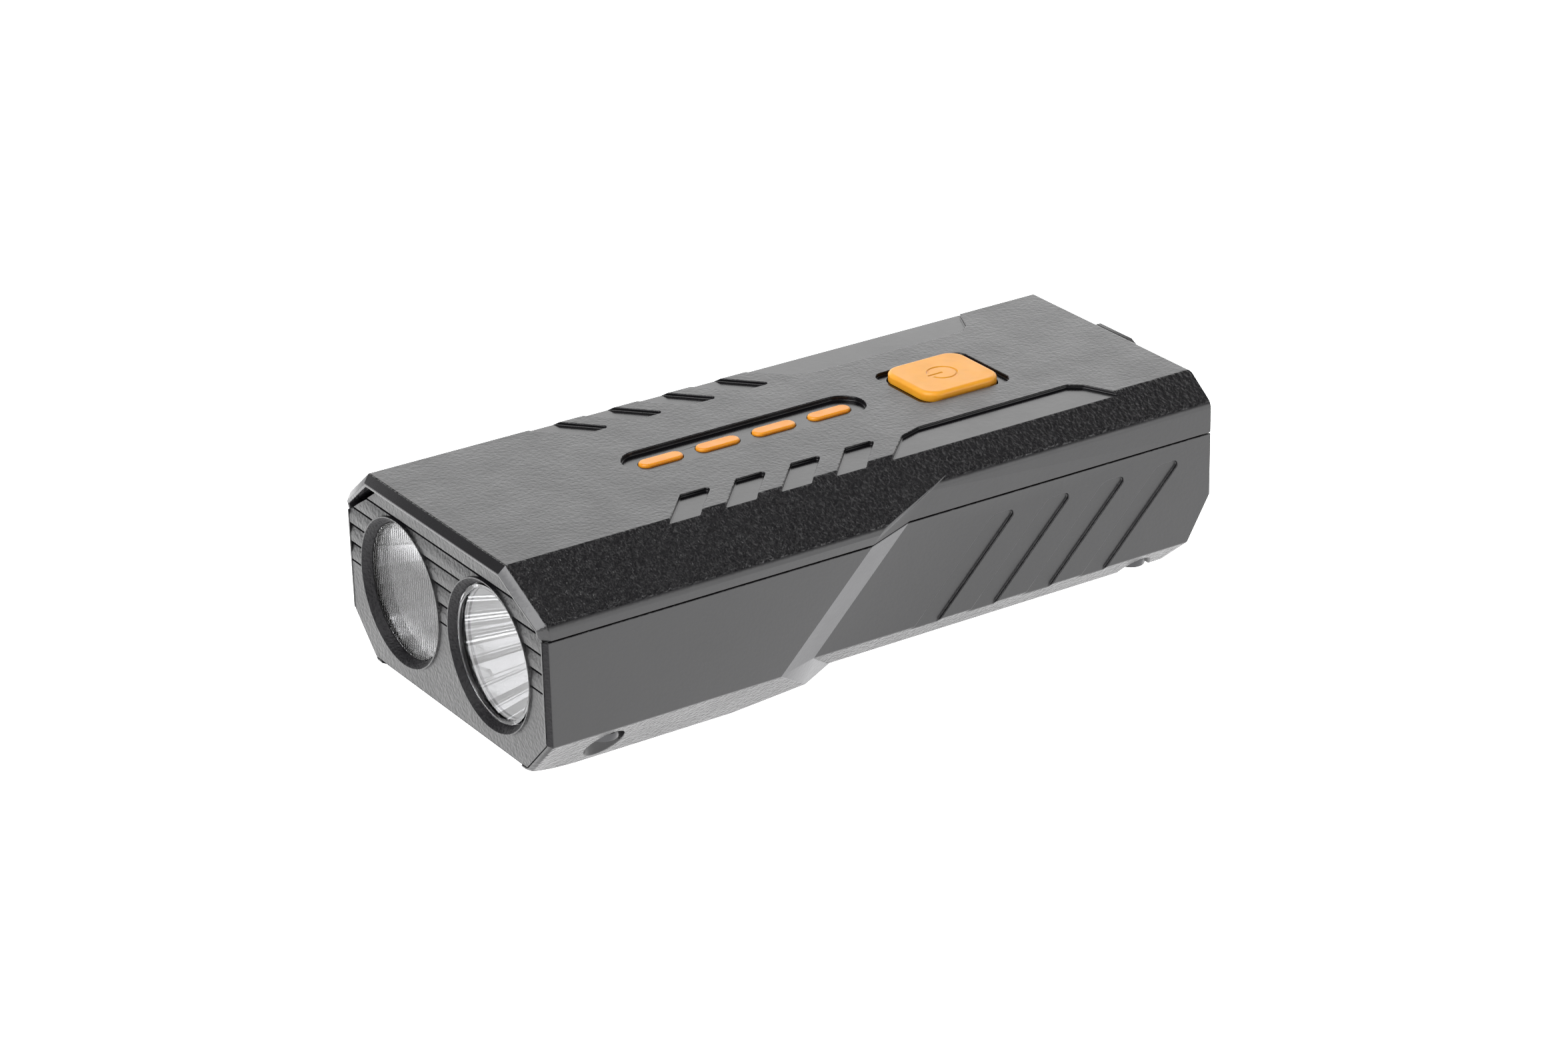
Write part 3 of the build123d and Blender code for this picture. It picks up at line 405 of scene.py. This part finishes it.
def gloss_cuts_and_paint_hood_light(piece):
    """Other materials on the smooth walls and floors of the cuts in the top, and a lighter grey on the hood's
    side bevels as painted light, a painted reflection.
    """
    mesh = piece.data
    mesh.materials.append(gloss_black)
    mesh.materials.append(painted_light_grey)
    for face in mesh.polygons:
        x, _, z = face.center
        # painted light: lighter grey on the hood's side bevels
        if points_into(face.normal, HOOD_BEVEL):
            face.material_index = 2
        surface = min(TOP, TOP - (abs(x) - TOP_HALF) * SHOULDER_SLOPE)
        is_sunk = CUT_DEPTHS[0] < surface - z < CUT_DEPTHS[1] and z > CUT_LEVEL
        if is_sunk and abs(x) < CUT_HALF and face.normal.z > -0.3:
            face.material_index = 1


FRONT_STRIP = 3 * MM  # the front bevels lie this close to the lamp face


def paint_lower_light_and_shade(piece):
    """Other materials: painted shade on the bevels beside the lamp face, a black with its reflection turned
    down, and painted light on the facets of the side steps, a lighter grey.
    """
    mesh = piece.data
    mesh.materials.append(collar_black_and_painted_shade)
    mesh.materials.append(painted_light_grey)
    for face in mesh.polygons:
        # painted shade on the front bevels beside the lamp face
        if face.center.y < FACE_FRONT + FRONT_STRIP and points_into(face.normal, FRONT_BEVEL):
            face.material_index = 1
        # painted light: lighter grey on the facets of the side steps
        if points_into(face.normal, SIDE_FACET):
            face.material_index = 2


COLLAR_FROM = 0.03 * MM  # the cones start this far behind the lamp face
GAP_WALLS = (0.3 * MM, 1.4 * MM)  # so far behind the lamp face lie the walls of the gaps


def darken_collars_and_paint_gap_shade(piece):
    """Second material, a black with its reflection turned down, on the coarse black cones round the lamps and
    as painted shade on the walls of the gaps between the louvres.
    """
    mesh = piece.data
    mesh.materials.append(collar_black_and_painted_shade)
    centres = [lamp_centre(lens) for lens in ("spot_lens", "flood_lens")]
    for face in mesh.polygons:
        x, y, z = face.center
        sunk = y - FACE_FRONT
        away = min(math.hypot(x - centre[0], z - centre[1]) for centre in centres)
        in_collar = away < COLLAR_OUTER and sunk > COLLAR_FROM
        painted_gap_shade = abs(face.normal.z) > 0.9 and z > LOUVRES_FROM and GAP_WALLS[0] < sunk < GAP_WALLS[1]
        # painted shade on the walls of the gaps between the louvres
        if in_collar or painted_gap_shade:
            face.material_index = 1


def build_shells():
    gloss_cuts_and_paint_hood_light(soften("upper_shell", 0.14 * MM, 3))
    paint_lower_light_and_shade(soften("lower_shell", 0.14 * MM, 3, merge_level_tops=False))
    darken_collars_and_paint_gap_shade(soften("face_plate", 0.04 * MM))


def turned(name, profile, centre, segments, swell=None):
    """Solid of revolution about a line along Y. The profile is a closed loop of (radius, y) points in metres.
    swell(angle, radius, y) gives the radius actually used."""
    bm = bmesh.new()
    rings = []
    for k in range(segments):
        angle = 2 * math.pi * k / segments
        ring = []
        for radius, y in profile:
            used = swell(angle, radius, y) if swell else radius
            x, z = centre[0] + used * math.cos(angle), centre[1] + used * math.sin(angle)
            ring.append(bm.verts.new((x, y, z)))
        rings.append(ring)
    count = len(profile)
    for ring, following in zip(rings, rings[1:] + rings[:1]):
        for i in range(count):
            j = (i + 1) % count
            bm.faces.new((ring[i], ring[j], following[j], following[i]))
    bmesh.ops.remove_doubles(bm, verts=bm.verts, dist=1e-7)
    bmesh.ops.recalc_face_normals(bm, faces=bm.faces)
    mesh = bpy.data.meshes.new(name)
    bm.to_mesh(mesh)
    bm.free()
    smooth_faces(mesh)
    mesh.set_sharp_from_angle(angle=math.radians(30))
    return mesh


def rounded(points, radius, steps=4):
    """The same closed loop with every corner replaced by a small arc, which stays clear of its neighbours."""
    result = []
    for before, corner, after in zip(points[-1:] + points[:-1], points, points[1:] + points[:1]):
        corner_v = Vector(corner)
        to_before, to_after = Vector(before) - corner_v, Vector(after) - corner_v
        reach = min(radius, to_before.length * 0.45, to_after.length * 0.45)
        start = corner_v + to_before.normalized() * reach
        end = corner_v + to_after.normalized() * reach
        for k in range(steps + 1):
            t = k / steps
            result.append(tuple(start * (1 - t) ** 2 + corner_v * 2 * t * (1 - t) + end * t**2))
    return result


def lamp_centre(node):
    """Axis of a lamp part along Y, as (x, z)."""
    low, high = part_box(node)
    return ((low.x + high.x) / 2, (low.z + high.z) / 2)


LENS_GAP = 0.08 * MM
FLANGE = 0.45 * MM
FLANGE_THICK = 0.8 * MM
RIM_WIDTH = 0.6 * MM
WINDOW_SINK = 0.3 * MM
WINDOW_BEVEL = 0.06 * MM
RIM_ROUNDING = 0.16 * MM
SPOT_SEGMENTS = 160
FLUTE_PITCH = 0.54 * MM
FLUTE_DEPTH = 0.05 * MM
SEEN_GLASS = 8.5 * MM  # radius of the flood lens inside its collar
FLUTED_PART = 0.9995  # of the radius, so that the outermost columns have a height
POINTS_PER_FLUTE = 10
FLUTE_ROWS = 14


def spot_lens():
    """Clear disc with a rounded rim in front of a flat window, and a flange at the back."""
    low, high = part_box("spot_lens")
    outer = (high.x - low.x) / 2
    glass = outer - FLANGE - LENS_GAP
    window = glass - RIM_WIDTH
    flange_y = high.y - FLANGE_THICK
    window_y = low.y + WINDOW_SINK
    rim = [(window, window_y), (window + WINDOW_BEVEL, low.y), (glass, low.y), (glass, flange_y)]
    back = [(outer, flange_y), (outer, high.y)]
    loop = [(0.0, window_y)] + rounded(rim + back, RIM_ROUNDING) + [(0.0, high.y)]
    return turned("spot_lens_disc", loop, lamp_centre("spot_lens"), SPOT_SEGMENTS)


def flood_lens():
    """Clear disc with upright rounded flutes that run to its very edge."""
    low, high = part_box("flood_lens")
    centre_x, centre_z = lamp_centre("flood_lens")
    outer = (high.x - low.x) / 2
    glass = outer - FLANGE - LENS_GAP
    flange_y = high.y - FLANGE_THICK
    columns = int(2 * glass / FLUTE_PITCH) * POINTS_PER_FLUTE
    bm = bmesh.new()
    grid = []
    for k in range(columns + 1):
        turn = math.pi / 2 * (k / columns - 0.5)
        across = glass * FLUTED_PART * math.sin(turn) / math.sin(math.pi / 4)
        phase = (across / FLUTE_PITCH) % 1.0
        crown = 1 - (2 * phase - 1) ** 2
        x, y = centre_x + across, low.y + FLUTE_DEPTH * (1 - crown)
        half = math.sqrt(glass**2 - across**2)
        heights = [centre_z + half * (2 * j / FLUTE_ROWS - 1) for j in range(FLUTE_ROWS + 1)]
        grid.append([bm.verts.new((x, y, z)) for z in heights])
    for one, other in zip(grid, grid[1:]):
        for j in range(FLUTE_ROWS):
            bm.faces.new((one[j], other[j], other[j + 1], one[j + 1]))
    rim = [column[0] for column in grid] + grid[-1][1:]
    rim += [column[-1] for column in reversed(grid[:-1])] + grid[0][-2:0:-1]
    for radius, y in ((glass, flange_y), (outer, flange_y), (outer, high.y)):
        ring = []
        for vert in rim:
            out = Vector((vert.co.x - centre_x, 0, vert.co.z - centre_z)).normalized() * radius
            ring.append(bm.verts.new((centre_x + out.x, y, centre_z + out.z)))
        for i in range(len(ring)):
            j = (i + 1) % len(ring)
            bm.faces.new((rim[j], rim[i], ring[i], ring[j]))
        rim = ring
    bm.faces.new(rim)
    bmesh.ops.recalc_face_normals(bm, faces=bm.faces)
    mesh = bpy.data.meshes.new("flood_lens_disc")
    bm.to_mesh(mesh)
    bm.free()
    smooth_faces(mesh)
    mesh.set_sharp_from_angle(angle=math.radians(50))
    return mesh


BOWL_WALL = 0.9 * MM
BOWL_THROAT = 3.2 * MM
BOWL_STEPS = 40
BOWL_MOUTH_EDGE = 1.0 * MM
BOWL_LIP_EDGE = 0.4 * MM
BOWL_FLANGE = (0.6 * MM, 1.6 * MM)
POINTS_PER_RIB = 8
SPOT_RIBS, SPOT_RIB_DEPTH = 22, 0.22 * MM
FLOOD_RIBS, FLOOD_RIB_DEPTH = 16, 0.1 * MM
RIB_RISE = 6  # the ribs rise over the first sixth of the depth from the throat


def reflector(node, ribs, rib_depth):
    """Metallised bowl whose inside is pressed into radial ribs, with a plain outside and a flange."""
    low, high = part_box(node)
    flange_r = (high.x - low.x) / 2
    mouth = flange_r - BOWL_MOUTH_EDGE
    lip_r = flange_r - BOWL_LIP_EDGE
    depth = high.y - low.y
    inner = []
    for k in range(BOWL_STEPS + 1):
        y = low.y + depth * k / BOWL_STEPS
        inner.append((math.sqrt(BOWL_THROAT**2 + (mouth**2 - BOWL_THROAT**2) * (high.y - y) / depth), y))
    flange_y, flange_end = low.y + BOWL_FLANGE[0], low.y + BOWL_FLANGE[1]
    outside = [(lip_r, low.y), (lip_r, flange_y), (flange_r, flange_y), (flange_r, flange_end)]
    outside += [(radius + BOWL_WALL, y) for radius, y in inner if y > flange_end]

    def swell(angle, radius, y):
        if (radius, y) not in inner:
            return radius
        along = (high.y - y) / depth
        phase = (angle * ribs / (2 * math.pi)) % 1.0
        return radius - rib_depth * (1 - (2 * phase - 1) ** 2) * min(1.0, along * RIB_RISE) * radius / mouth

    profile = inner + list(reversed(outside))
    return turned(node + "_bowl", profile, lamp_centre(node), ribs * POINTS_PER_RIB, swell)


def build_lamps():
    # the flood lens gets painted shade in its colour along the flutes and across its middle
    fluted = fluted_plastic_painted_shade("flood_lens_fluted_painted_shade", lamp_centre("flood_lens"), FLUTE_PITCH, SEEN_GLASS)
    spot_bowl = reflector("spot_reflector", SPOT_RIBS, SPOT_RIB_DEPTH)
    flood_bowl = reflector("flood_reflector", FLOOD_RIBS, FLOOD_RIB_DEPTH)
    pieces = (
        ("spot_lens", spot_lens(), materials["clear_lens"]),
        ("flood_lens", flood_lens(), fluted),
        ("spot_reflector", spot_bowl, materials["reflector_silver"]),
        ("flood_reflector", flood_bowl, flood_coat),
    )
    for node, mesh, mat in pieces:
        dress(add_piece(mesh.name, mesh, node), mat)


for name, node in nodes.items():
    slot = slot_of[name]
    dress(node, led_package("led_" + name, lamp_centre(name)) if slot == "led_yellow" else materials[slot])

build_shells()
build_lamps()
for name in ("power_button", "port_cover", "port_strap", "bracket_rail", "case_screws", "rail_screws"):
    soften(name, 0.08 * MM)
for number in range(1, 5):
    soften(f"gauge_pill_{number}", 0.05 * MM)


# ---------------------------------------------------------------- stage

def add_camera():
    """Camera at the viewing angle, tilted by a small roll."""
    az, el = CAMERA_AZIMUTH, CAMERA_ELEVATION
    right = Vector((math.cos(az), math.sin(az), 0))
    back = Vector((math.sin(az) * math.cos(el), -math.cos(az) * math.cos(el), math.sin(el)))
    up = back.cross(right)
    c, s = math.cos(CAMERA_ROLL), math.sin(CAMERA_ROLL)
    facing = Matrix((c * right + s * up, c * up - s * right, back)).transposed()
    camera = bpy.data.objects.new("camera", bpy.data.cameras.new("camera"))
    camera.data.lens = CAMERA_LENS
    camera.data.sensor_width = 36.0
    camera.data.clip_start = 0.01
    camera.matrix_world = Matrix.Translation(CAMERA_AT) @ facing.to_4x4()
    bpy.context.scene.collection.objects.link(camera)
    bpy.context.scene.camera = camera


def add_floor():
    """Plain white floor."""
    mesh = bpy.data.meshes.new("floor")
    half = FLOOR_HALF
    corners = [(-half, -half, 0), (half, -half, 0), (half, half, 0), (-half, half, 0)]
    mesh.from_pydata(corners, [], [(0, 1, 2, 3)])
    floor = bpy.data.objects.new("floor", mesh)
    bpy.context.scene.collection.objects.link(floor)
    mat, _, shader = new_material("floor_paper", (0.9, 0.9, 0.9), 0.9, Emission_Strength=FLOOR_GLOW)
    shader.inputs["Emission Color"].default_value = (1, 1, 1, 1)
    dress(floor, mat)


def add_light(name, at, size, radiance):
    """Soft box of the given size in metres that faces the object."""
    data = bpy.data.lights.new(name, "AREA")
    data.shape = "RECTANGLE"
    data.size, data.size_y = size
    data.energy = radiance * math.pi * size[0] * size[1]
    light = bpy.data.objects.new(name, data)
    light.location = at
    light.rotation_euler = (-Vector(at)).to_track_quat("-Z", "Y").to_euler()
    bpy.context.scene.collection.objects.link(light)


def add_world():
    """Studio walls: bright low down behind the left side, dim elsewhere and overhead."""
    world = bpy.data.worlds.new("studio")
    bpy.context.scene.world = world
    world.use_nodes = True
    tree = world.node_tree
    towards = axes_of(tree, tree.nodes.new("ShaderNodeTexCoord").outputs["Generated"])
    low = span(tree, towards["Z"], 0.48, 0.66, 1.0, 0.0)
    leftward = maths(tree, "MULTIPLY", towards["X"], -0.84)
    behind_left = maths(tree, "ADD", leftward, maths(tree, "MULTIPLY", towards["Y"], 0.54))
    wall = span(tree, behind_left, 0.55, 0.85, 0.45, 2.5)
    glow = maths(tree, "ADD", maths(tree, "MULTIPLY", low, wall), 0.06)
    tree.nodes["Background"].inputs["Color"].default_value = (1, 1, 1, 1)
    tree.links.new(glow, tree.nodes["Background"].inputs["Strength"])


add_camera()
add_floor()
add_world()
add_light("overhead", (0.15, -0.50, 0.72), (0.5, 0.4), 7.0)
add_light("front", (0.02, -0.73, 0.42), (0.4, 0.36), 6.0)
add_light("edge", (0.78, 0.50, 0.16), (0.5, 0.26), 4.0)
bpy.context.scene.view_settings.view_transform = "Standard"
